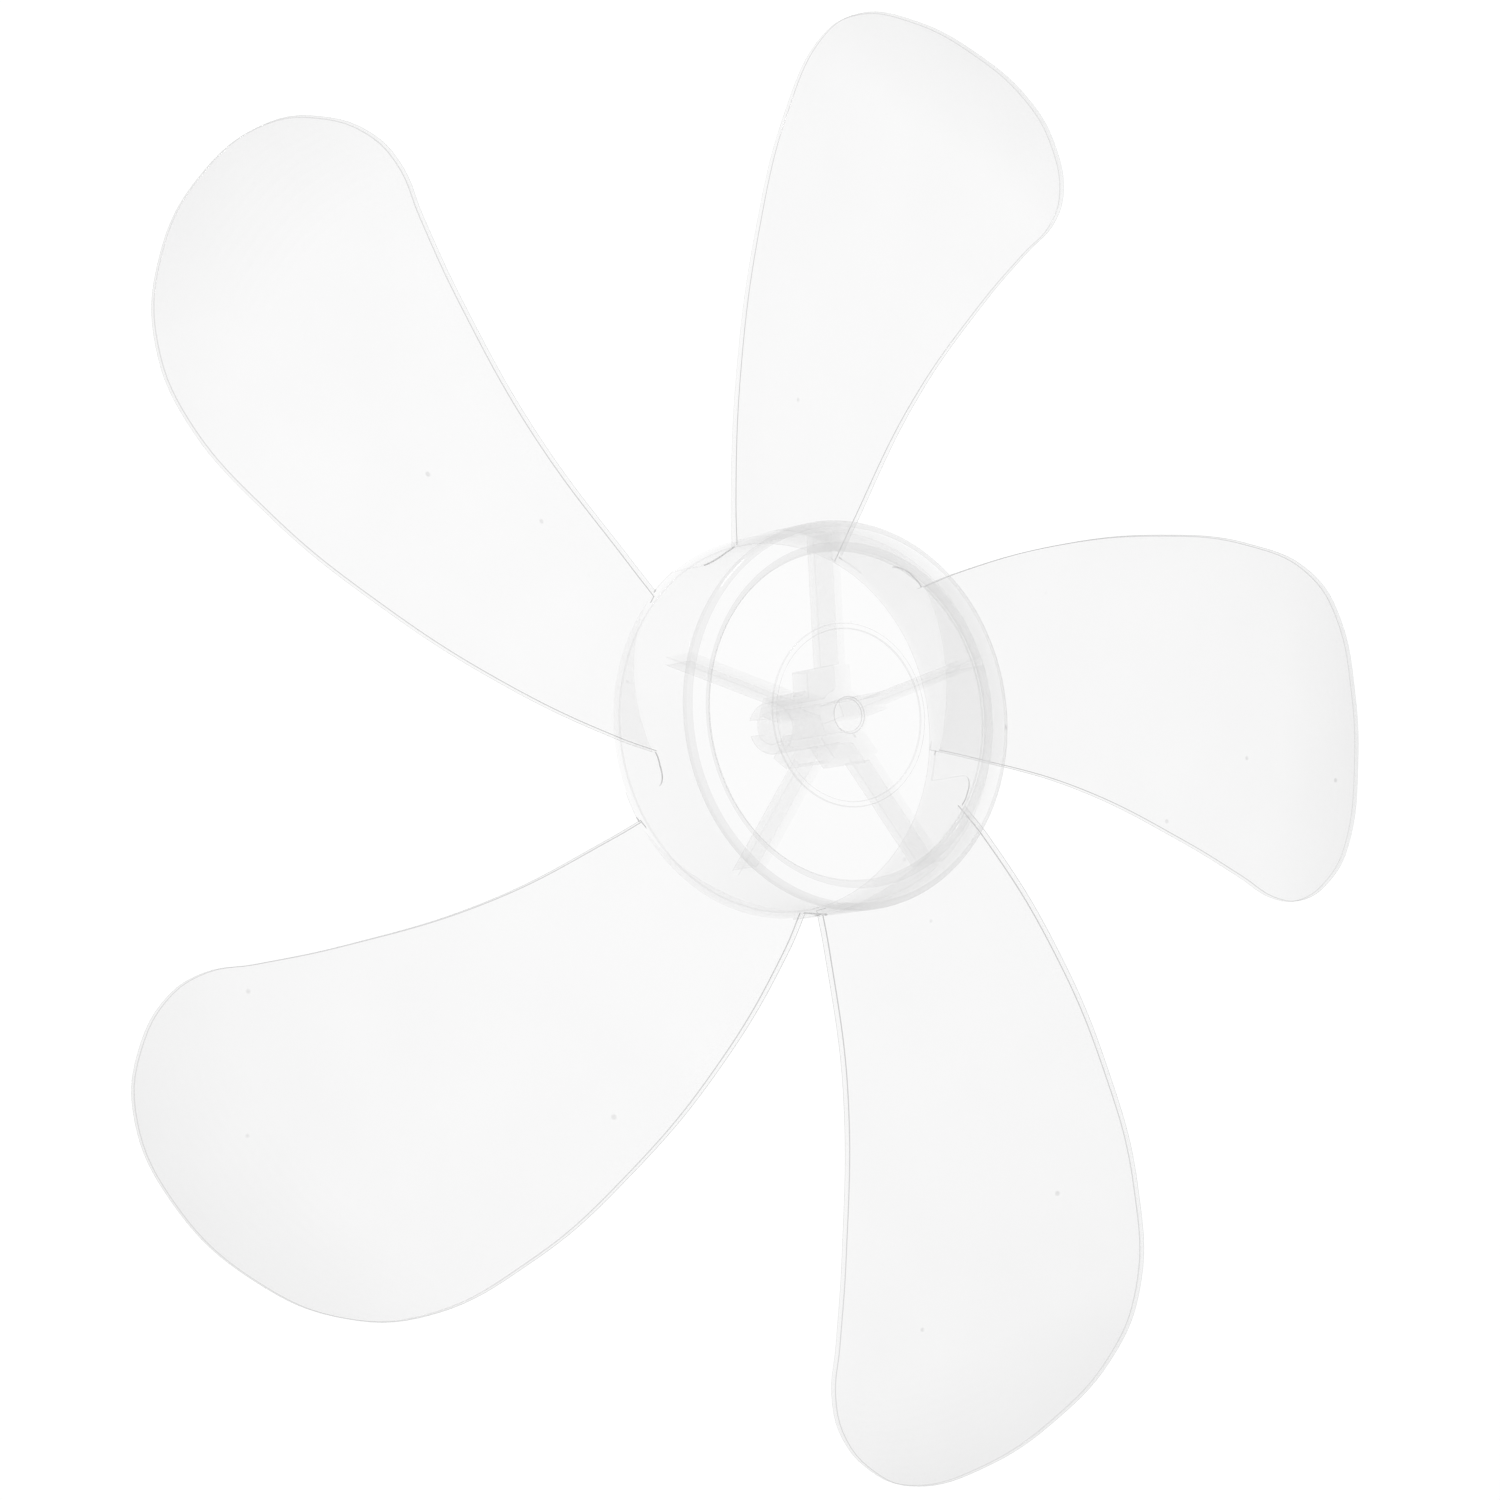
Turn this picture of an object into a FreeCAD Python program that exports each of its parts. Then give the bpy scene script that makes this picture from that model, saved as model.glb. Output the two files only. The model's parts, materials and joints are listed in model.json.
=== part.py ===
import FreeCAD
import Part
import math
import os

# Pedestal fan blade: five twisted blades round a hub cup, moulded in one piece.
# All sizes are in millimetres. The shaft axis is Z with the nose up, and z = 0 is both
# the rear rim of the hub and the seat of the shaft's cross pin. The first blade's rib is on +Y.

# Overall sizes
tip_radius = 200.0
blade_count = 5

# Hub cup
hub_radius = 49.5
hub_front_radius = 48.5
hub_depth = 33.8
wall = 2.2
bead_width = 7.3
bead_rise = 1.0
face_recess = 1.1
face_thickness = 2.0
rim_bevel = 0.6

# Fine raised ring on the front face
ring_radius = 22.2
ring_width = 1.3
ring_height = 0.4

# Shaft boss, with a cross slot for the drive pin in its rear end
shaft_diameter = 8.0
shaft_clearance = 0.05
boss_radius = 6.8
boss_tail = 4.0
bore_chamfer = 0.5
pin_slot_width = 4.0

# Ribs inside the cup, each with a thicker gusset beside the boss
rib_thickness = 2.2
rib_depth = 11.2
gusset_radius = 12.8
gusset_thickness = 4.7
gusset_depth = 19.2

# Blade plate
root_thickness = 2.4
tip_thickness = 1.6
camber_radius = 190.0
root_overlap = 1.4

# Blade outline seen along the axis, from the trailing root round the tip to the leading root:
# share of the span from hub to tip, and angle in degrees forward of the blade's rib
trailing_edge = [(0.06, -22.8), (0.27, -13.1), (0.50, -5.9), (0.70, -0.6), (0.857, 4.3), (0.932, 8.6)]
blade_tip = [(0.979, 14.3), (1.0, 21.8), (0.981, 28.2), (0.937, 31.6)]
leading_edge = [(0.867, 34.2), (0.80, 34.8), (0.718, 33.8), (0.575, 31.9), (0.316, 28.3), (0.06, 26.0)]
trailing_root_angle = -27.5
leading_root_angle = 25.3

# Height of the plate's middle at the three sections that shape a blade
root_height = 6.8
middle_height = 6.6
tip_height = 6.1

# The sections, square to the rib line: share of the span, sweep angle forward, pitch angle,
# and half width as an angle that reaches past the outline
root_section = (-0.07, -0.7, 22.9, 37.0)
middle_section = (0.46, 14.3, 12.2, 26.5)
tip_section = (1.0, 14.2, 13.0, 19.0)

# Shallow step left by the mould on the hub wall behind each blade
step_depth = 0.4
step_height = 18.6
step_end_angle = -37.2
step_start_angle = 27.0
step_corner_round = 4.0

# Sizes that follow from those above
span = tip_radius - hub_radius
blade_pitch_angle = 360.0 / blade_count
rib_angle = 90.0
bead_edge = hub_depth - bead_rise
face_front = bead_edge - face_recess
face_rear = face_front - face_thickness
bore_radius = shaft_diameter / 2 + shaft_clearance
bead_inner_radius = hub_front_radius - bead_width
root_radius = hub_radius - root_overlap
cut_margin = 1.0
tolerance = 0.01
sections = [
    (root_height, *root_section),
    (middle_height, *middle_section),
    (tip_height, *tip_section),
]

AXIS = FreeCAD.Vector(0, 0, 1)
CENTRE = FreeCAD.Vector(0, 0, 0)


def polar(radius, angle, height=0.0):
    """Point at a radius and an angle in degrees from +X."""
    turn = math.radians(angle)
    return FreeCAD.Vector(radius * math.cos(turn), radius * math.sin(turn), height)


def profile_point(radius, height):
    """Point of a revolved profile."""
    return FreeCAD.Vector(radius, 0, height)


def line(start, end):
    return Part.LineSegment(start, end).toShape()


def arc(start, middle, end):
    return Part.Arc(start, middle, end).toShape()


def parabola(start, pole, end):
    """Parabola between two points, with its end tangents meeting at a pole."""
    curve = Part.BezierCurve()
    curve.setPoles([start, pole, end])
    return curve.toShape()


def revolve(edges):
    """Solid of revolution about the shaft axis, from a closed chain of profile edges."""
    return Part.Face(Part.Wire(edges)).revolve(CENTRE, AXIS, 360)


def polygon_edges(points):
    return [line(a, b) for a, b in zip(points, points[1:] + points[:1])]


def around(shape):
    """Copies of a shape, one for each blade."""
    copies = []
    for index in range(blade_count):
        copy = shape.copy()
        copy.rotate(CENTRE, AXIS, index * blade_pitch_angle)
        copies.append(copy)
    return copies


def make_cup():
    """Side wall, rounded rim bead and recessed front face as one revolved shell."""
    bead_start = profile_point(hub_front_radius, bead_edge)
    bead_pole = profile_point(hub_front_radius - bead_width / 2, bead_edge + 2 * bead_rise)
    bead_end = profile_point(bead_inner_radius, bead_edge)
    chain = [
        bead_end,
        profile_point(bead_inner_radius, face_front),
        profile_point(0, face_front),
        profile_point(0, face_rear),
        profile_point(hub_front_radius - wall, face_rear),
        profile_point(hub_radius - wall, 0),
        profile_point(hub_radius, 0),
        bead_start,
    ]
    sides = [line(a, b) for a, b in zip(chain, chain[1:])]
    cup = revolve(sides + [parabola(bead_start, bead_pole, bead_end)])
    rim = [e for e in cup.Edges if e.Closed and abs(e.BoundBox.XMax - hub_front_radius) < tolerance]
    return cup.makeChamfer(rim_bevel, rim)


def make_step():
    """Shallow recess in the hub wall behind a blade, with a rounded corner past the trailing edge."""
    outer = hub_radius + cut_margin
    section = polygon_edges([
        profile_point(hub_front_radius - step_depth - wall / 2, -cut_margin),
        profile_point(outer, -cut_margin),
        profile_point(outer, step_height),
        profile_point(hub_front_radius - step_depth - wall / 2, step_height),
    ])
    sweep = step_start_angle - step_end_angle
    band = Part.Face(Part.Wire(section)).revolve(CENTRE, AXIS, sweep)
    band.rotate(CENTRE, AXIS, rib_angle - step_start_angle)
    corner = [e for e in band.Edges if is_step_corner(e)]
    band = band.makeFillet(step_corner_round, corner)

    middles = [Part.Wire(section_curve(*values)[0]) for values in sections]
    blade_middle = Part.makeLoft(middles, False, False).Faces[0]
    band = band.cut(blade_middle.extrude(FreeCAD.Vector(0, 0, 2 * hub_depth)))

    tapered_wall = revolve(polygon_edges([
        profile_point(0, -2 * cut_margin),
        profile_point(hub_radius - step_depth, -2 * cut_margin),
        profile_point(hub_radius - step_depth, 0),
        profile_point(hub_front_radius - step_depth, hub_depth),
        profile_point(0, hub_depth),
    ]))
    return band.cut(tapered_wall)


def is_step_corner(edge):
    """True for the upper edge of the step's band past the trailing edge."""
    for vertex in edge.Vertexes:
        point = vertex.Point
        end = polar(math.hypot(point.x, point.y), rib_angle - step_end_angle, step_height)
        if point.distanceToPoint(end) > tolerance:
            return False
    return True


def make_boss():
    """Boss for the shaft, from the front face to a tail behind the rim."""
    return Part.makeCylinder(boss_radius, boss_tail + face_front, FreeCAD.Vector(0, 0, -boss_tail))


def make_rib():
    """Rib on +Y from the boss to the side wall, with its gusset."""
    top = face_rear + face_thickness / 2
    rib_length = hub_front_radius - wall / 2
    rib_height = rib_depth + face_thickness / 2
    rib_corner = FreeCAD.Vector(-rib_thickness / 2, 0, top - rib_height)
    rib = Part.makeBox(rib_thickness, rib_length, rib_height, rib_corner)
    gusset_height = gusset_depth + face_thickness / 2
    gusset_corner = FreeCAD.Vector(-gusset_thickness / 2, 0, top - gusset_height)
    gusset = Part.makeBox(gusset_thickness, gusset_radius, gusset_height, gusset_corner)
    return rib.fuse(gusset)


def make_outline():
    """Face of the blade outline, closed by an arc inside the hub wall."""
    points = [polar(root_radius, rib_angle - trailing_root_angle)]
    for share, angle in trailing_edge + blade_tip + leading_edge:
        points.append(polar(hub_radius + share * span, rib_angle - angle))
    points.append(polar(root_radius, rib_angle - leading_root_angle))
    edge = Part.BSplineCurve()
    edge.interpolate(points)
    middle = polar(root_radius, rib_angle - (trailing_root_angle + leading_root_angle) / 2)
    return Part.Face(Part.Wire([edge.toShape(), arc(points[-1], middle, points[0])]))


def section_curve(height, share, sweep, pitch, reach):
    """Parabola across the blade in a plane square to the rib line, with its two ends."""
    distance = hub_radius + share * span
    middle = distance * math.tan(math.radians(sweep))
    half = distance * math.tan(math.radians(reach))
    slope = -math.tan(math.radians(pitch))
    rise = half ** 2 / (2 * camber_radius)
    start = FreeCAD.Vector(middle - half, distance, height - slope * half + rise)
    pole = FreeCAD.Vector(middle, distance, height - rise)
    end = FreeCAD.Vector(middle + half, distance, height + slope * half + rise)
    return parabola(start, pole, end), start, end


def section_wire(height, share, sweep, pitch, reach):
    """Closed section of the plate: two parabolas a thickness apart."""
    thickness = root_thickness + (tip_thickness - root_thickness) * share
    upright = thickness / math.cos(math.radians(pitch))
    front, front_start, front_end = section_curve(height + upright / 2, share, sweep, pitch, reach)
    rear, rear_start, rear_end = section_curve(height - upright / 2, share, sweep, pitch, reach)
    return Part.Wire([front, line(front_end, rear_end), rear, line(rear_start, front_start)])


def make_blade():
    """Twisted, cambered plate trimmed to the blade outline."""
    plate = Part.makeLoft([section_wire(*values) for values in sections], True, False)
    trim_height = 2 * hub_depth
    outline = make_outline()
    outline.translate(FreeCAD.Vector(0, 0, -trim_height / 2))
    return plate.common(outline.extrude(FreeCAD.Vector(0, 0, trim_height)))


def make_ring():
    """Fine raised ring round the middle of the front face."""
    base = FreeCAD.Vector(0, 0, face_front - face_thickness / 2)
    height = ring_height + face_thickness / 2
    outer = Part.makeCylinder(ring_radius + ring_width / 2, height, base)
    return outer.cut(Part.makeCylinder(ring_radius - ring_width / 2, height, base))


def make_bore():
    """Through bore with a countersunk mouth, and the cross slot for the drive pin."""
    length = boss_tail + hub_depth + 2 * cut_margin
    bore = Part.makeCylinder(bore_radius, length, FreeCAD.Vector(0, 0, -boss_tail - cut_margin))
    mouth = FreeCAD.Vector(0, 0, face_front - bore_chamfer)
    mouth_height = bore_chamfer + cut_margin
    countersink = Part.makeCone(bore_radius, bore_radius + mouth_height, mouth_height, mouth)
    slot_length = 2 * (boss_radius + cut_margin)
    slot_corner = FreeCAD.Vector(-slot_length / 2, -pin_slot_width / 2, -boss_tail - cut_margin)
    slot = Part.makeBox(slot_length, pin_slot_width, boss_tail + cut_margin, slot_corner)
    return [bore, countersink, slot]


def make_fan_blade():
    """Hub with its ribs and bore, then the blades on its wall."""
    cup = make_cup().cut(around(make_step()))
    body = cup.multiFuse([make_ring(), make_boss()] + around(make_rib())).cut(make_bore())
    for blade in around(make_blade()):
        body = body.fuse(blade)
    return body.removeSplitter()


os.makedirs("parts", exist_ok=True)
fan_blade = make_fan_blade()
fan_blade.exportStep("parts/fan_blade.step")
print("solids", len(fan_blade.Solids), "valid", fan_blade.isValid())
print("volume", round(fan_blade.Volume, 1), "box", fan_blade.BoundBox)
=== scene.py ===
import bmesh
import bpy
import json
import math
from mathutils import Matrix, Vector


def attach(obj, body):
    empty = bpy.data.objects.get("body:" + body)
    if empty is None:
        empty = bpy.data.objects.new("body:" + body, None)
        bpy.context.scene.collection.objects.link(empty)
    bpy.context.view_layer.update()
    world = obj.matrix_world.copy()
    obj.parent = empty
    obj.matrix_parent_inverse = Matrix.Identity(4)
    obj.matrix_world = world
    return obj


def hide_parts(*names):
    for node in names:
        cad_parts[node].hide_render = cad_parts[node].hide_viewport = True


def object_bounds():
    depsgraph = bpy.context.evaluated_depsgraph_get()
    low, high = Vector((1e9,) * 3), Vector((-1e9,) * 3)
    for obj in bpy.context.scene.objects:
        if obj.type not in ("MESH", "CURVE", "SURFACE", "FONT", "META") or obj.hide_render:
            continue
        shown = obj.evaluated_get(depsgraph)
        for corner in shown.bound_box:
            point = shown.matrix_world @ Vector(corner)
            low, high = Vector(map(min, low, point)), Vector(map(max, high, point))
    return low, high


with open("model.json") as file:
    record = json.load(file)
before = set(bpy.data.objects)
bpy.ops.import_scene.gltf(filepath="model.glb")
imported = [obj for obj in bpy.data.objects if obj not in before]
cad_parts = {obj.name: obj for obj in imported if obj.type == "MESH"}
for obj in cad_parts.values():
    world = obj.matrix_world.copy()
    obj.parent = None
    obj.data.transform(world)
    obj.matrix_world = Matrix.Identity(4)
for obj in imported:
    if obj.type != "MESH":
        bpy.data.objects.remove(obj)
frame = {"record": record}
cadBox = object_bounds()
mm = 0.001  # meshes are modelled in millimetres and scaled once, at the end
print("frame loaded", [round(side, 4) for side in cadBox[1] - cadBox[0]])


def mountRadius(name):
    for mount in frame["record"]["mounts"]:
        if mount["name"] == name:
            return mount["dims"]["r_mm"]


def newObject(name, bm):
    loose = sum(not edge.is_manifold for edge in bm.edges)
    print(name, len(bm.faces), "faces,", loose, "open edges")
    mesh = bpy.data.meshes.new(name)
    bm.to_mesh(mesh)
    bm.free()
    piece = bpy.data.objects.new(name, mesh)
    bpy.context.scene.collection.objects.link(piece)
    return piece


edgeLayer = "edgeShare"  # face attribute: above zero the plastic looks denser and is tinted darker, painted shade that stands in for refraction lines along edges; below zero clearer


def startMesh():
    bm = bmesh.new()
    bm.faces.layers.float.new(edgeLayer)
    return bm


def markFaces(bm, faces, share):
    layer = bm.faces.layers.float[edgeLayer]
    for face in faces:
        face[layer] = share


def closeMesh(bm, gap=0.002):
    bmesh.ops.remove_doubles(bm, verts=bm.verts, dist=gap)
    bmesh.ops.recalc_face_normals(bm, faces=bm.faces)


def around(piece, count):  # copies of a piece turned about the shaft
    turned = [piece]
    for index in range(1, count):
        copy = piece.copy()
        copy.data = piece.data.copy()
        copy.data.transform(Matrix.Rotation(math.tau * index / count, 4, "Z"))
        bpy.context.scene.collection.objects.link(copy)
        turned.append(copy)
    return turned


def boolean(piece, others, operation):  # applied at once, and the tools removed
    tools = bpy.data.collections.new("tools")
    for other in others:
        tools.objects.link(other)
    modifier = piece.modifiers.new(operation.lower(), "BOOLEAN")
    modifier.operation = operation
    modifier.solver = "MANIFOLD"
    modifier.operand_type = "COLLECTION"
    modifier.collection = tools
    graph = bpy.context.evaluated_depsgraph_get()
    mesh = bpy.data.meshes.new_from_object(piece.evaluated_get(graph))
    piece.modifiers.clear()
    piece.data = mesh
    for other in others:
        bpy.data.objects.remove(other)
    bpy.data.collections.remove(tools)


# hub cup, all sizes in millimetres; veil and edge values say how clear or dense the plastic looks:
# the edge values paint darker lines along rounded edges as painted shade, and the crown's clearer
# veil is a painted highlight
hub = {
    "radius": 49.5, "frontRadius": 48.5, "depth": 33.8, "wall": 2.2,
    "beadWidth": 7.3, "beadRise": 1.0, "beadSteps": 16, "beadPower": 3.0,
    "faceRecess": 1.1, "faceThickness": 2.0,
    "ringRadius": 22.2, "ringWidth": 1.3, "ringHeight": 0.4,
    "bossRadius": 6.8, "bossTail": 4.0, "boreChamfer": 0.5,
    "rimRound": 0.35, "beadRound": 0.6, "cornerRound": 0.8, "ringRound": 0.15, "boreRound": 0.2,
    "roundSegments": 5, "turnSteps": 240,
    "wallRows": 9, "faceRows": 6, "middleRows": 5, "bossRows": 8, "rearRows": 8,
    "veil": -0.45, "rimEdge": 0.25, "beadEdge": 0.35,
    "ringEdge": 0.35, "boreEdge": 0.5, "tailEdge": 0.2,
    "beadCrown": 2.0, "beadCrownGlintVeil": -0.6,
    "beadSide": 0.95, "beadSideShare": 0.1, "beadSideShade": 0.27,
}
boreRadius = mountRadius("shaft_bore")
beadEdge = hub["depth"] - hub["beadRise"]
faceFront = beadEdge - hub["faceRecess"]
faceRear = faceFront - hub["faceThickness"]


def wallRadius(height):  # outside of the tapered side wall
    return hub["radius"] + (hub["frontRadius"] - hub["radius"]) * height / hub["depth"]


def nearCorner(face, radius, height, reach):
    middle = face.calc_center_median()
    return math.hypot(math.hypot(middle.x, middle.y) - radius, middle.z - height) < reach


def makeHub():
    beadInner = hub["frontRadius"] - hub["beadWidth"]
    ringIn = hub["ringRadius"] - hub["ringWidth"] / 2
    ringOut = hub["ringRadius"] + hub["ringWidth"] / 2
    ringTop = faceFront + hub["ringHeight"]
    profile = []  # radius, height, rounding, rows to the next point, edge share

    def add(radius, height, rounding=0.0, rows=1, edge=0.0):
        profile.append((radius, height, rounding, rows, edge))

    add(hub["radius"], 0.0, hub["rimRound"], hub["wallRows"], hub["rimEdge"])
    add(wallRadius(beadEdge), beadEdge, hub["beadRound"], 1, hub["beadEdge"])
    for step in range(1, hub["beadSteps"]):  # shallow crowned bead
        share = step / hub["beadSteps"]
        crown = hub["beadRise"] * (1 - abs(2 * share - 1) ** hub["beadPower"])
        add(hub["frontRadius"] - share * hub["beadWidth"], beadEdge + crown)
    add(beadInner, beadEdge, hub["rimRound"], 1, hub["beadEdge"])
    add(beadInner, faceFront, hub["rimRound"], hub["faceRows"], hub["beadEdge"])
    add(ringOut, faceFront, hub["ringRound"], 1, hub["ringEdge"])
    add(ringOut, ringTop, hub["ringRound"], 1, hub["ringEdge"])
    add(ringIn, ringTop, hub["ringRound"], 1, hub["ringEdge"])
    add(ringIn, faceFront, hub["ringRound"], hub["middleRows"], hub["ringEdge"])
    add(boreRadius + hub["boreChamfer"], faceFront, hub["boreRound"], 1, hub["boreEdge"])
    mouth = faceFront - hub["boreChamfer"]
    add(boreRadius, mouth, hub["boreRound"], hub["bossRows"], hub["boreEdge"])
    add(boreRadius, -hub["bossTail"], hub["boreRound"], 1, hub["tailEdge"])
    add(hub["bossRadius"], -hub["bossTail"], hub["rimRound"], hub["bossRows"], hub["tailEdge"])
    add(hub["bossRadius"], faceRear, hub["cornerRound"], hub["rearRows"])
    add(hub["frontRadius"] - hub["wall"], faceRear, hub["cornerRound"], hub["wallRows"])
    add(hub["radius"] - hub["wall"], 0.0, hub["rimRound"], 1, hub["rimEdge"])

    bm = startMesh()
    corners = [bm.verts.new((radius, 0, height)) for radius, height, _, _, _ in profile]
    edges = [bm.edges.new((a, b)) for a, b in zip(corners, corners[1:] + corners[:1])]
    for edge, (_, _, _, rows, _) in zip(edges, profile):
        if rows > 1:
            bmesh.ops.subdivide_edges(bm, edges=[edge], cuts=rows - 1)
    for radius, height, rounding, _, _ in profile:
        if rounding > 0:
            corner = min(bm.verts, key=lambda vert: (vert.co - Vector((radius, 0, height))).length)
            bmesh.ops.bevel(
                bm, geom=[corner], offset=rounding, offset_type="OFFSET", affect="VERTICES",
                segments=hub["roundSegments"], profile=0.5, material=-1, clamp_overlap=True,
            )
    bmesh.ops.spin(
        bm, geom=bm.verts[:] + bm.edges[:], cent=(0, 0, 0), axis=(0, 0, 1),
        angle=math.tau, steps=hub["turnSteps"], use_merge=True,
    )
    closeMesh(bm)
    markFaces(bm, bm.faces, hub["veil"])
    beadMiddle = (hub["frontRadius"] + beadInner) / 2
    sideIn = hub["beadWidth"] * hub["beadSideShare"]
    sideTop = beadEdge + hub["beadRise"] / 2
    bands = [  # the bead's crown painted clearer as a painted highlight, and bands on its steeper sides painted darker as painted shade
        (beadMiddle, hub["depth"], hub["beadCrown"], hub["beadCrownGlintVeil"]),
        (hub["frontRadius"] - sideIn, sideTop, hub["beadSide"], hub["beadSideShade"]),
        (beadInner + sideIn, sideTop, hub["beadSide"], hub["beadSideShade"]),
    ]
    for radius, height, reach, edge in bands:
        markFaces(bm, [f for f in bm.faces if nearCorner(f, radius, height, reach)], edge)
    # painted shade: darker lines along the rounded corners of the profile, standing in for refraction
    # lines
    for radius, height, rounding, _, edge in profile:
        if edge > 0:
            markFaces(bm, [f for f in bm.faces if nearCorner(f, radius, height, rounding)], edge)
    return newObject("hub", bm)


# ribs inside the cup, each with a thicker gusset beside the boss
ribs = {
    "thickness": 2.2, "depth": 11.2, "start": 5.4,
    "gussetRadius": 12.8, "gussetThickness": 4.7, "gussetDepth": 19.2,
    "edgeRound": 0.3, "edgeSegments": 3, "margin": 0.1, "edge": 0.1, "veil": -0.35,
}


def makeBar(name, width, start, end, low, high, rounding):
    bm = startMesh()
    bmesh.ops.create_cube(bm, size=1.0)
    bmesh.ops.scale(bm, vec=(width, end - start, high - low), verts=bm.verts)
    bmesh.ops.translate(bm, vec=(0, (start + end) / 2, (low + high) / 2), verts=bm.verts)
    lower = [e for e in bm.edges if all(v.co.z < low + ribs["margin"] for v in e.verts)]
    made = bmesh.ops.bevel(
        bm, geom=lower, offset=rounding, offset_type="OFFSET", affect="EDGES",
        segments=ribs["edgeSegments"], profile=0.5, material=-1, clamp_overlap=True,
    )
    markFaces(bm, bm.faces, ribs["veil"])
    # painted shade: the rounded lower edges are tinted a little darker, standing in for refraction
    # lines
    markFaces(bm, made["faces"], ribs["edge"])
    closeMesh(bm)
    return newObject(name, bm)


def makeRibs(count):
    top = faceRear + hub["faceThickness"] / 2
    wallMiddle = hub["frontRadius"] - hub["wall"] / 2
    rib = makeBar(
        "rib", ribs["thickness"], ribs["start"], wallMiddle,
        faceRear - ribs["depth"], top, ribs["edgeRound"],
    )
    gusset = makeBar(
        "gusset", ribs["gussetThickness"], ribs["start"], ribs["gussetRadius"],
        faceRear - ribs["gussetDepth"], top, ribs["edgeRound"],
    )
    return around(rib, count) + around(gusset, count)


# cross slot for the drive pin in the boss tail
pinSlot = {"width": 4.0, "over": 1.0}


def makePinSlot():
    bm = startMesh()
    bmesh.ops.create_cube(bm, size=1.0)
    length = 2 * (hub["bossRadius"] + pinSlot["over"])
    height = hub["bossTail"] + pinSlot["over"]
    bmesh.ops.scale(bm, vec=(length, pinSlot["width"], height), verts=bm.verts)
    bmesh.ops.translate(bm, vec=(0, 0, -height / 2), verts=bm.verts)
    return newObject("pinSlot", bm)


# blade plate: the outline gives shares of the span and degrees forward of the rib,
# the sections give height, share, sweep, pitch and half width as an angle
blade = {
    "count": 5, "tipRadius": 199.8, "rootInside": 1.4,
    "rootThickness": 2.4, "tipThickness": 1.6, "camberRadius": 190.0,
    "trailing": [
        (0.06, -22.8), (0.27, -13.1), (0.50, -5.9), (0.70, -0.6), (0.857, 4.3), (0.932, 8.6),
    ],
    "tip": [(0.979, 14.3), (1.0, 21.8), (0.981, 28.2), (0.937, 31.6)],
    "leading": [
        (0.867, 34.2), (0.80, 34.8), (0.718, 33.8), (0.575, 31.9), (0.316, 28.3), (0.06, 26.0),
    ],
    "trailingRoot": -27.5, "leadingRoot": 25.3,
    "sections": [
        (6.8, -0.07, -0.7, 22.9, 37.0),
        (6.6, 0.46, 14.3, 12.2, 26.5),
        (6.1, 1.0, 14.2, 13.0, 19.0),
    ],
    "across": 32, "along": 60, "spanSteps": 24,
    "rimAngle": 1.0, "edgeRound": 0.4, "edgeSegments": 3, "rootEdge": 1.0, "tipEdge": 0.6,
    "rootVeil": -0.28, "tipVeil": 0.16, "veilPower": 2,
}
span = blade["tipRadius"] - hub["radius"]


def sectionValues():  # distance, height, middle, half width, fall and rise of each section
    rows = []
    for height, share, sweep, pitch, reach in blade["sections"]:
        distance = hub["radius"] + share * span
        half = distance * math.tan(math.radians(reach))
        middle = distance * math.tan(math.radians(sweep))
        fall = -half * math.tan(math.radians(pitch))
        rows.append((distance, height, middle, half, fall, half ** 2 / (2 * blade["camberRadius"])))
    return rows


sections = sectionValues()


def bladeHeight(x, y):  # middle of the first blade's plate, and its upright thickness
    shares = []
    for mine in sections:
        share = 1.0
        for other in sections:
            if other is not mine:
                share *= (y - other[0]) / (mine[0] - other[0])
        shares.append(share)
    height, middle, half, fall, rise = [
        sum(share * row[column] for share, row in zip(shares, sections)) for column in range(1, 6)
    ]
    part = (x - middle) / half
    spanShare = (y - hub["radius"]) / span
    taper = blade["tipThickness"] - blade["rootThickness"]
    thickness = blade["rootThickness"] + taper * spanShare
    return height + fall * part + rise * part ** 2, thickness * math.hypot(1, fall / half)


def outlinePoints():  # along the trailing edge, over the tip and down the leading edge
    rootRadius = hub["radius"] - blade["rootInside"]
    chain = [(rootRadius, blade["trailingRoot"])]
    for share, angle in blade["trailing"] + blade["tip"] + blade["leading"]:
        chain.append((hub["radius"] + share * span, angle))
    chain.append((rootRadius, blade["leadingRoot"]))
    curve = bpy.data.curves.new("outline", "CURVE")
    curve.dimensions = "3D"
    spline = curve.splines.new("BEZIER")
    spline.bezier_points.add(len(chain) - 1)
    spline.resolution_u = blade["spanSteps"]
    for point, (radius, angle) in zip(spline.bezier_points, chain):
        turn = math.radians(angle)
        point.co = (radius * math.sin(turn), radius * math.cos(turn), 0)
        point.handle_left_type = "AUTO"
        point.handle_right_type = "AUTO"
    holder = bpy.data.objects.new("outline", curve)
    mesh = bpy.data.meshes.new_from_object(holder)
    line = [vert.co.copy() for vert in mesh.vertices]
    bpy.data.objects.remove(holder)
    bpy.data.curves.remove(curve)
    bpy.data.meshes.remove(mesh)
    return line


def alongLine(line, share):  # point at a share of a line's length
    lengths = [0.0]
    for a, b in zip(line, line[1:]):
        lengths.append(lengths[-1] + (b - a).length)
    wanted = share * lengths[-1]
    for index in range(1, len(line)):
        if wanted <= lengths[index] or index == len(line) - 1:
            gap = lengths[index] - lengths[index - 1]
            part = min(1.0, (wanted - lengths[index - 1]) / gap)
            return line[index - 1].lerp(line[index], part)


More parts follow.
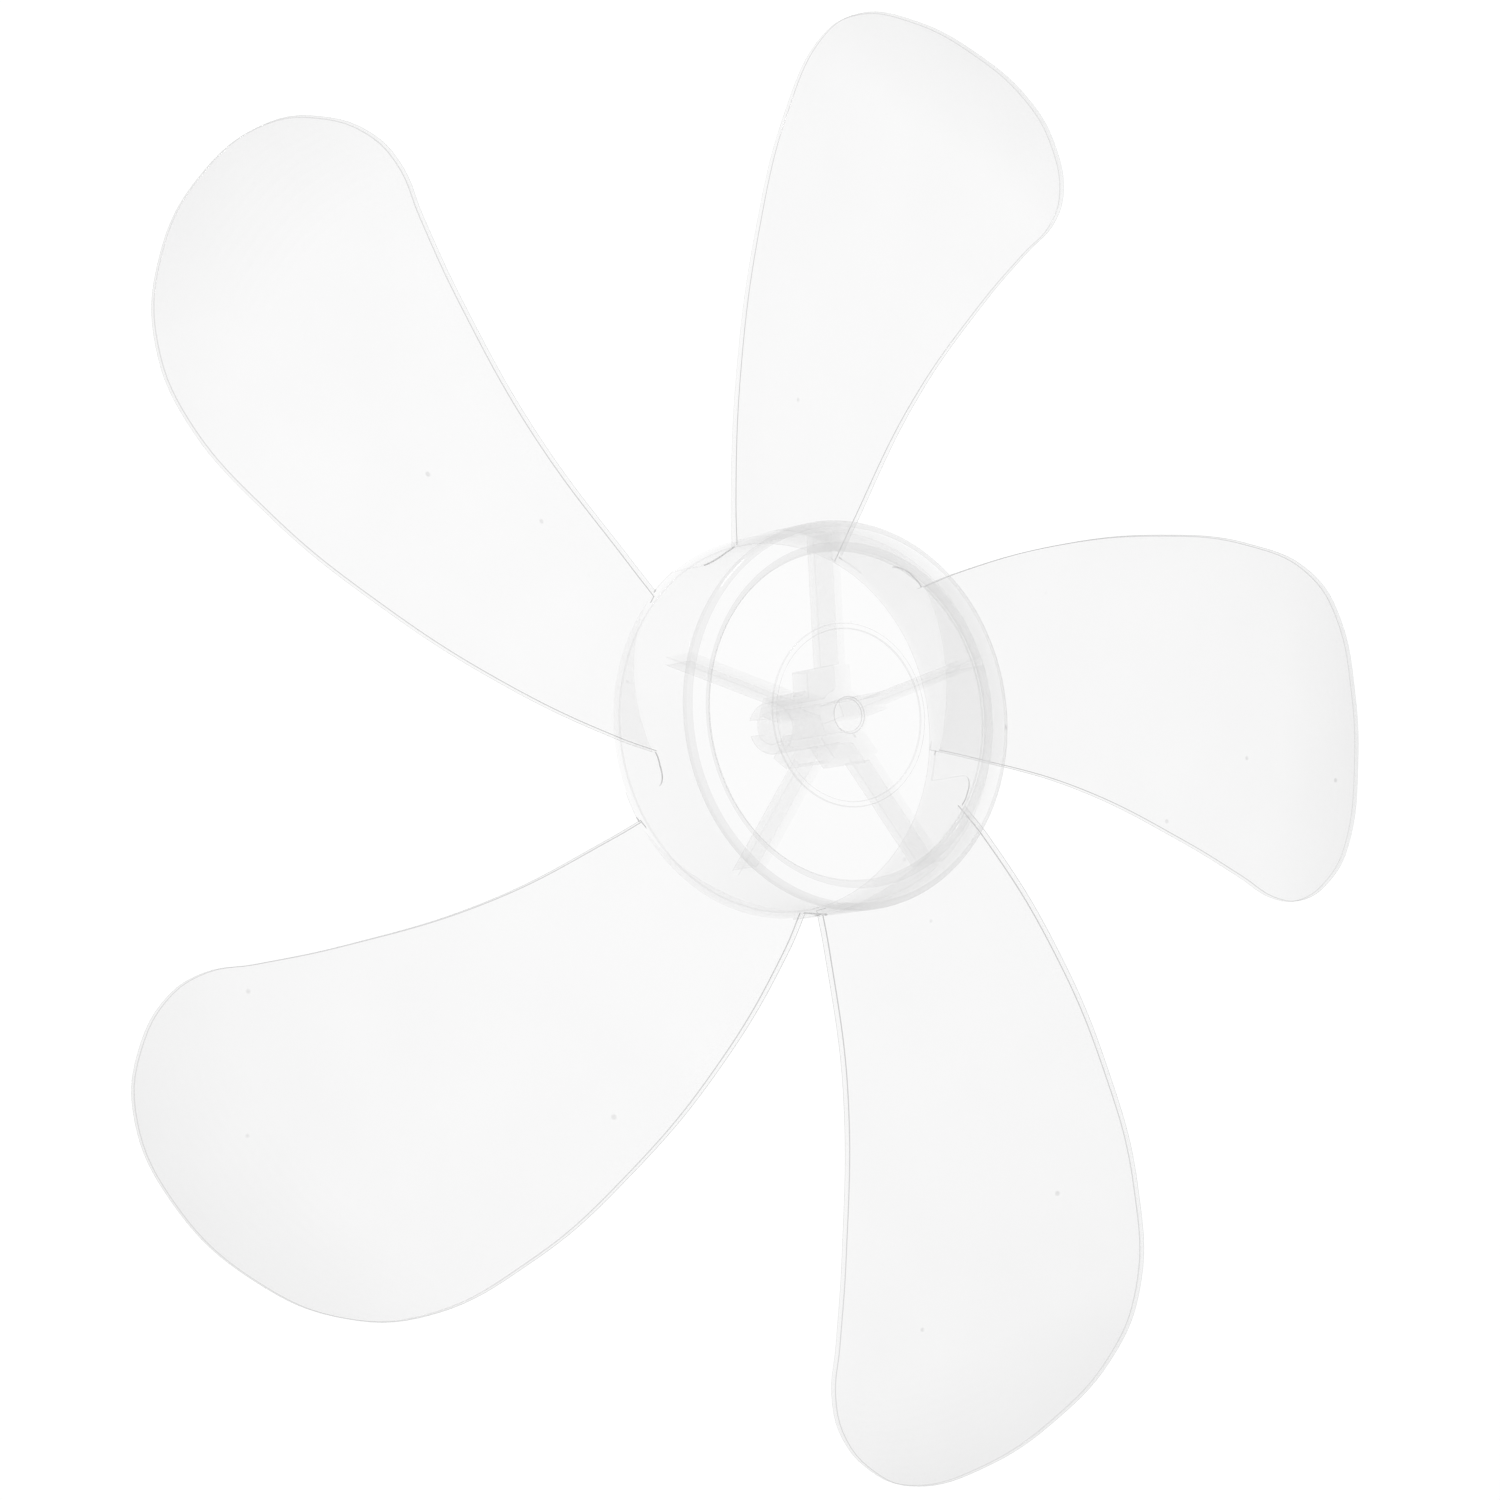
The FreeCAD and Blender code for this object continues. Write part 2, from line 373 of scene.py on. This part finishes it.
def makeBlade():
    line = outlinePoints()
    first = len(blade["trailing"]) * blade["spanSteps"]  # where the tip starts on the line
    last = first + len(blade["tip"]) * blade["spanSteps"]  # and where it ends
    trailing, tip, leading = line[:first + 1], line[first:last + 1], line[last:][::-1]
    rootRadius = hub["radius"] - blade["rootInside"]

    def plan(across, along):  # place in plan, blended from the four sides of the outline
        turn = math.radians(blade["trailingRoot"] * (1 - across) + blade["leadingRoot"] * across)
        root = Vector((rootRadius * math.sin(turn), rootRadius * math.cos(turn), 0))
        sides = alongLine(trailing, along).lerp(alongLine(leading, along), across)
        ends = root.lerp(alongLine(tip, across), along)
        rootCorners = trailing[0].lerp(leading[0], across)
        tipCorners = tip[0].lerp(tip[-1], across)
        return sides + ends - rootCorners.lerp(tipCorners, along)

    bm = startMesh()  # a unit grid, so a place on it is a share across and along
    bmesh.ops.create_grid(bm, x_segments=blade["across"], y_segments=blade["along"], size=0.5)
    made = bmesh.ops.extrude_face_region(bm, geom=bm.faces[:], use_keep_orig=True)
    lifted = [item for item in made["geom"] if isinstance(item, bmesh.types.BMVert)]
    bmesh.ops.translate(bm, vec=(0, 0, 1), verts=lifted)
    for vert in bm.verts:
        place = plan(vert.co.x + 0.5, vert.co.y + 0.5)
        height, thickness = bladeHeight(place.x, place.y)
        vert.co = (place.x, place.y, height + (vert.co.z - 0.5) * thickness)
    closeMesh(bm)
    rim = [e for e in bm.edges if e.is_manifold and e.calc_face_angle() > blade["rimAngle"]]
    thin = blade["tipThickness"] / 2
    rim = [e for e in rim if abs(e.verts[0].co.z - e.verts[1].co.z) < thin]  # no upright edges
    made = bmesh.ops.bevel(
        bm, geom=rim, offset=blade["edgeRound"], offset_type="OFFSET", affect="EDGES",
        segments=blade["edgeSegments"], profile=0.5, material=-1, clamp_overlap=True,
    )
    rounded = set(made["faces"])
    for face in bm.faces:
        reach = max(0.0, (face.calc_center_median().xy.length - hub["radius"]) / span)
        # rounded edges get painted shade: darker lines standing in for refraction, fainter towards
        # the tip
        if face in rounded:
            start, end, part = blade["rootEdge"], blade["tipEdge"], reach
        else:  # denser, greyer veil towards the tip
            start, end, part = blade["rootVeil"], blade["tipVeil"], reach ** blade["veilPower"]
        markFaces(bm, [face], start + (end - start) * part)
    closeMesh(bm)
    return newObject("blade", bm)


# shallow step left by the mould on the hub wall behind each blade
mouldStep = {
    "depth": 0.4, "height": 18.6, "end": -37.2, "start": 27.0,
    "cornerRound": 4.0, "over": 1.0, "samples": 64, "crowding": 1.6, "edge": 1.0, "veil": -0.4,
}


def stepTop(turn):  # upper limit of the step at an angle forward of the rib
    run = math.radians(turn - mouldStep["end"]) * hub["radius"]
    top = mouldStep["height"]
    corner = mouldStep["cornerRound"]
    if run < corner:
        top += math.sqrt(max(0.0, corner ** 2 - (corner - run) ** 2)) - corner
    radians = math.radians(turn)
    x, y = hub["radius"] * math.sin(radians), hub["radius"] * math.cos(radians)
    middle, _ = bladeHeight(x, y)
    return min(top, middle)


def makeMouldStep():
    bm = startMesh()  # a unit strip, so a place on it is a share of the step's sweep
    bmesh.ops.create_grid(bm, x_segments=mouldStep["samples"], y_segments=1, size=0.5)
    made = bmesh.ops.extrude_face_region(bm, geom=bm.faces[:], use_keep_orig=True)
    lifted = [item for item in made["geom"] if isinstance(item, bmesh.types.BMVert)]
    bmesh.ops.translate(bm, vec=(0, 0, 1), verts=lifted)
    for vert in bm.verts:
        share = (vert.co.x + 0.5) ** mouldStep["crowding"]  # closer samples at the rounded corner
        turn = mouldStep["end"] + (mouldStep["start"] - mouldStep["end"]) * share
        height = stepTop(turn) if vert.co.y > 0 else -mouldStep["over"]
        radius = wallRadius(height) - mouldStep["depth"]
        radius += (mouldStep["depth"] + mouldStep["over"]) * vert.co.z
        radians = math.radians(turn)
        vert.co = (radius * math.sin(radians), radius * math.cos(radians), height)
    closeMesh(bm)
    markFaces(bm, bm.faces, mouldStep["veil"])
    # painted shade: the step's ledge gets a darker line
    ledge = [f for f in bm.faces if all(v.co.z > -mouldStep["over"] / 2 for v in f.verts)]
    markFaces(bm, ledge, mouldStep["edge"])
    return newObject("mouldStep", bm)


# whole moulding: edges over this angle in degrees are shaded sharp
moulding = {"sharpAngle": 32.0}


def makeFanBlade():
    piece = makeHub()
    print("hub cup", len(piece.data.polygons), "faces")
    boolean(piece, [makePinSlot()] + around(makeMouldStep(), blade["count"]), "DIFFERENCE")
    print("slot and mould steps", len(piece.data.polygons), "faces")
    boolean(piece, makeRibs(blade["count"]), "UNION")
    print("ribs", len(piece.data.polygons), "faces")
    boolean(piece, around(makeBlade(), blade["count"]), "UNION")
    print("blades", len(piece.data.polygons), "faces")
    piece.name = "fanBlade"
    piece.data.name = "fanBlade"
    piece.data.transform(Matrix.Scale(mm, 4))
    for polygon in piece.data.polygons:
        polygon.use_smooth = True
    piece.data.set_sharp_from_angle(angle=math.radians(moulding["sharpAngle"]))
    return piece


# clear moulded plastic: a thin veil that thickens at glancing angles and along edges,
# greyer where the plastic is deeper; the darker tint along marked edges is painted shade for
# refraction lines
plastic = {
    "tint": (0.69, 0.688, 0.69), "shade": (0.60, 0.598, 0.60), "edgeShadeTint": (0.27, 0.27, 0.27),
    "veil": 0.20, "rimVeil": 0.65, "rimPower": 6.0,
    "glanceBlend": 0.5, "ior": 1.5,
    "polish": 0.06, "haze": 0.16, "hazeScale": 38.0, "hazeDetail": 3.0, "hazeRange": (0.35, 0.75),
    "flowScale": 9.0, "flowDetail": 0.0, "flowDepth": 0.05, "flowHeight": 0.002,
    "speckScale": 45.0, "speckSize": 0.04, "speckCore": 0.02, "speckShare": 0.5,
    "speckTint": (0.10, 0.10, 0.10),
    "depthColor": (0.0, 0.0, 0.0), "depthDensity": 7.0,
}


def plasticMaterial():
    material = bpy.data.materials.new("clearPlastic")
    material.use_nodes = True
    nodes, links = material.node_tree.nodes, material.node_tree.links
    shader, out = nodes["Principled BSDF"], nodes["Material Output"]
    shader.inputs["IOR"].default_value = plastic["ior"]
    place = nodes.new("ShaderNodeTexCoord")

    haze = nodes.new("ShaderNodeTexNoise")  # faint cloudiness of the moulding
    haze.inputs["Scale"].default_value = plastic["hazeScale"]
    haze.inputs["Detail"].default_value = plastic["hazeDetail"]
    links.new(place.outputs["Object"], haze.inputs["Vector"])
    rough = nodes.new("ShaderNodeMapRange")
    rough.inputs["From Min"].default_value = plastic["hazeRange"][0]
    rough.inputs["From Max"].default_value = plastic["hazeRange"][1]
    rough.inputs["To Min"].default_value = plastic["polish"]
    rough.inputs["To Max"].default_value = plastic["haze"]
    links.new(haze.outputs["Fac"], rough.inputs["Value"])
    links.new(rough.outputs["Result"], shader.inputs["Roughness"])

    def blend(first, second, factor):  # colour blend of two tints or links
        mix = nodes.new("ShaderNodeMix")
        mix.data_type = "RGBA"
        for socket, value in (("A", first), ("B", second)):
            if isinstance(value, tuple):
                mix.inputs[socket].default_value = (*value, 1)
            else:
                links.new(value, mix.inputs[socket])
        links.new(factor, mix.inputs["Factor"])
        return mix.outputs["Result"]

    glance = nodes.new("ShaderNodeLayerWeight")  # edges of clear plastic look denser
    glance.inputs["Blend"].default_value = plastic["glanceBlend"]
    rim = nodes.new("ShaderNodeMath")
    rim.operation = "POWER"
    rim.inputs[1].default_value = plastic["rimPower"]
    links.new(glance.outputs["Facing"], rim.inputs[0])
    edge = nodes.new("ShaderNodeAttribute")
    edge.attribute_name = edgeLayer
    dense = nodes.new("ShaderNodeMath")
    dense.operation = "MAXIMUM"
    links.new(rim.outputs["Value"], dense.inputs[0])
    links.new(edge.outputs["Fac"], dense.inputs[1])
    dust = nodes.new("ShaderNodeTexVoronoi")  # a few dark specks in the melt
    dust.inputs["Scale"].default_value = plastic["speckScale"]
    links.new(place.outputs["Object"], dust.inputs["Vector"])
    speck = nodes.new("ShaderNodeMapRange")
    speck.inputs["From Min"].default_value = plastic["speckSize"]
    speck.inputs["From Max"].default_value = plastic["speckCore"]
    speck.inputs["To Max"].default_value = plastic["speckShare"]
    links.new(dust.outputs["Distance"], speck.inputs["Value"])

    marked = nodes.new("ShaderNodeMath")
    marked.operation = "MAXIMUM"
    links.new(dense.outputs["Value"], marked.inputs[0])
    links.new(speck.outputs["Result"], marked.inputs[1])

    veil = nodes.new("ShaderNodeMapRange")
    veil.inputs["To Min"].default_value = plastic["veil"]
    veil.inputs["To Max"].default_value = plastic["rimVeil"]
    links.new(marked.outputs["Value"], veil.inputs["Value"])
    clear = nodes.new("ShaderNodeMapRange")  # below zero the edge share thins the veil
    clear.inputs["From Min"].default_value = -1.0
    clear.inputs["From Max"].default_value = 0.0
    links.new(edge.outputs["Fac"], clear.inputs["Value"])
    thin = nodes.new("ShaderNodeMath")
    thin.operation = "MULTIPLY"
    links.new(veil.outputs["Result"], thin.inputs[0])
    links.new(clear.outputs["Result"], thin.inputs[1])
    links.new(thin.outputs["Value"], shader.inputs["Alpha"])

    tone = blend(plastic["tint"], plastic["shade"], haze.outputs["Fac"])
    # painted shade: marked edges take a darker tint that stands in for refraction lines
    tone = blend(tone, plastic["edgeShadeTint"], edge.outputs["Fac"])
    tone = blend(tone, plastic["speckTint"], speck.outputs["Result"])
    links.new(tone, shader.inputs["Base Color"])

    flow = nodes.new("ShaderNodeTexNoise")  # slow waves left by the melt
    flow.inputs["Scale"].default_value = plastic["flowScale"]
    flow.inputs["Detail"].default_value = plastic["flowDetail"]
    links.new(place.outputs["Object"], flow.inputs["Vector"])
    bump = nodes.new("ShaderNodeBump")
    bump.inputs["Strength"].default_value = plastic["flowDepth"]
    bump.inputs["Distance"].default_value = plastic["flowHeight"]
    links.new(flow.outputs["Fac"], bump.inputs["Height"])
    links.new(bump.outputs["Normal"], shader.inputs["Normal"])

    depth = nodes.new("ShaderNodeVolumeAbsorption")  # thicker runs look greyer
    depth.inputs["Color"].default_value = (*plastic["depthColor"], 1)
    depth.inputs["Density"].default_value = plastic["depthDensity"]
    links.new(depth.outputs["Volume"], out.inputs["Volume"])
    return material


fanBlade = makeFanBlade()
fanBlade.data.materials.clear()
fanBlade.data.materials.append(plasticMaterial())
fanBlade.visible_diffuse = False  # the floor is lit straight through the clear part
fanBlade.visible_shadow = False
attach(fanBlade, "root")
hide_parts("fan_blade")
print("fan blade ready", len(fanBlade.data.vertices), "vertices")

# plain pale floor under the lowest point, lit from below like a light table
floorLook = {
    "reach": 4.0, "gap": 0.0002, "glow": 0.695, "rough": 0.9, "shine": 0.1,
    "color": (0.30, 0.30, 0.30), "mottle": (0.28, 0.28, 0.28), "mottleScale": 3.0,
}


def makeFloor():
    bm = bmesh.new()
    bmesh.ops.create_grid(bm, x_segments=1, y_segments=1, size=floorLook["reach"])
    bmesh.ops.translate(bm, vec=(0, 0, cadBox[0].z - floorLook["gap"]), verts=bm.verts)
    piece = newObject("floor", bm)
    material = bpy.data.materials.new("paleFloor")
    material.use_nodes = True
    nodes, links = material.node_tree.nodes, material.node_tree.links
    shader = nodes["Principled BSDF"]
    shader.inputs["Roughness"].default_value = floorLook["rough"]
    shader.inputs["Specular IOR Level"].default_value = floorLook["shine"]
    shader.inputs["Emission Color"].default_value = (1, 1, 1, 1)
    shader.inputs["Emission Strength"].default_value = floorLook["glow"]
    place = nodes.new("ShaderNodeTexCoord")
    noise = nodes.new("ShaderNodeTexNoise")
    noise.inputs["Scale"].default_value = floorLook["mottleScale"]
    tone = nodes.new("ShaderNodeMix")
    tone.data_type = "RGBA"
    tone.inputs["A"].default_value = (*floorLook["color"], 1)
    tone.inputs["B"].default_value = (*floorLook["mottle"], 1)
    links.new(place.outputs["Object"], noise.inputs["Vector"])
    links.new(noise.outputs["Fac"], tone.inputs["Factor"])
    links.new(tone.outputs["Result"], shader.inputs["Base Color"])
    piece.data.materials.append(material)


makeFloor()

# soft studio light
studio = {
    "sky": (1.0, 1.0, 1.0), "skyStrength": 1.02, "clearLayers": 32,
    "lamps": [  # name, place, size and watts
        ("key", (-0.15, 0.95, 0.72), 0.3, 3.8),
    ],
}


def makeLight():
    world = bpy.data.worlds.new("studio")
    world.use_nodes = True
    background = world.node_tree.nodes["Background"]
    background.inputs["Color"].default_value = (*studio["sky"], 1)
    background.inputs["Strength"].default_value = studio["skyStrength"]
    bpy.context.scene.world = world
    for name, place, size, watts in studio["lamps"]:
        lamp = bpy.data.lights.new(name, "AREA")
        lamp.shape = "DISK"
        lamp.size = size
        lamp.energy = watts
        holder = bpy.data.objects.new(name, lamp)
        holder.location = place
        holder.rotation_euler = (-Vector(place)).to_track_quat("-Z", "Y").to_euler()
        bpy.context.scene.collection.objects.link(holder)


makeLight()
bpy.context.scene.view_settings.view_transform = "Standard"
bpy.context.scene.cycles.transparent_max_bounces = studio["clearLayers"]

# camera at the photograph's angle: tilt of the shaft from the line of sight, its turn in the picture,
# distance, focal length and picture in pixels, and where the line of sight meets the picture
view = {
    "tilt": 33.72, "turn": 9.86, "distance": 766.6, "focal": 2991.6,
    "picture": 1500, "sight": (781.1, 726.7), "target": 0.8, "sensor": 36.0, "nearest": 0.01,
}


def makeCamera():
    tilt, turn = math.radians(view["tilt"]), math.radians(view["turn"])
    shaft = Vector((  # the shaft axis as the camera sees it: right, down, away
        math.sin(tilt) * math.cos(turn), -math.sin(tilt) * math.sin(turn), -math.cos(tilt),
    ))
    up = Vector((0, -1, 0))
    rib = (up - shaft * up.dot(shaft)).normalized()
    side = rib.cross(shaft)
    seen = Matrix((side, rib, shaft))  # rows: the part's axes in the camera's
    right, down, away = seen.col[0], seen.col[1], seen.col[2]
    place = Vector((0, 0, view["target"])) - away * view["distance"]
    lens = bpy.data.cameras.new("photoView")
    lens.sensor_width = view["sensor"]
    lens.lens = view["focal"] / view["picture"] * view["sensor"]
    lens.shift_x = 0.5 - view["sight"][0] / view["picture"]
    lens.shift_y = view["sight"][1] / view["picture"] - 0.5
    lens.clip_start = view["nearest"]
    holder = bpy.data.objects.new("photoView", lens)
    holder.matrix_world = Matrix((
        (right.x, -down.x, -away.x, place.x * mm),
        (right.y, -down.y, -away.y, place.y * mm),
        (right.z, -down.z, -away.z, place.z * mm),
        (0, 0, 0, 1),
    ))
    bpy.context.scene.collection.objects.link(holder)
    bpy.context.scene.camera = holder


makeCamera()
print("camera and light ready")
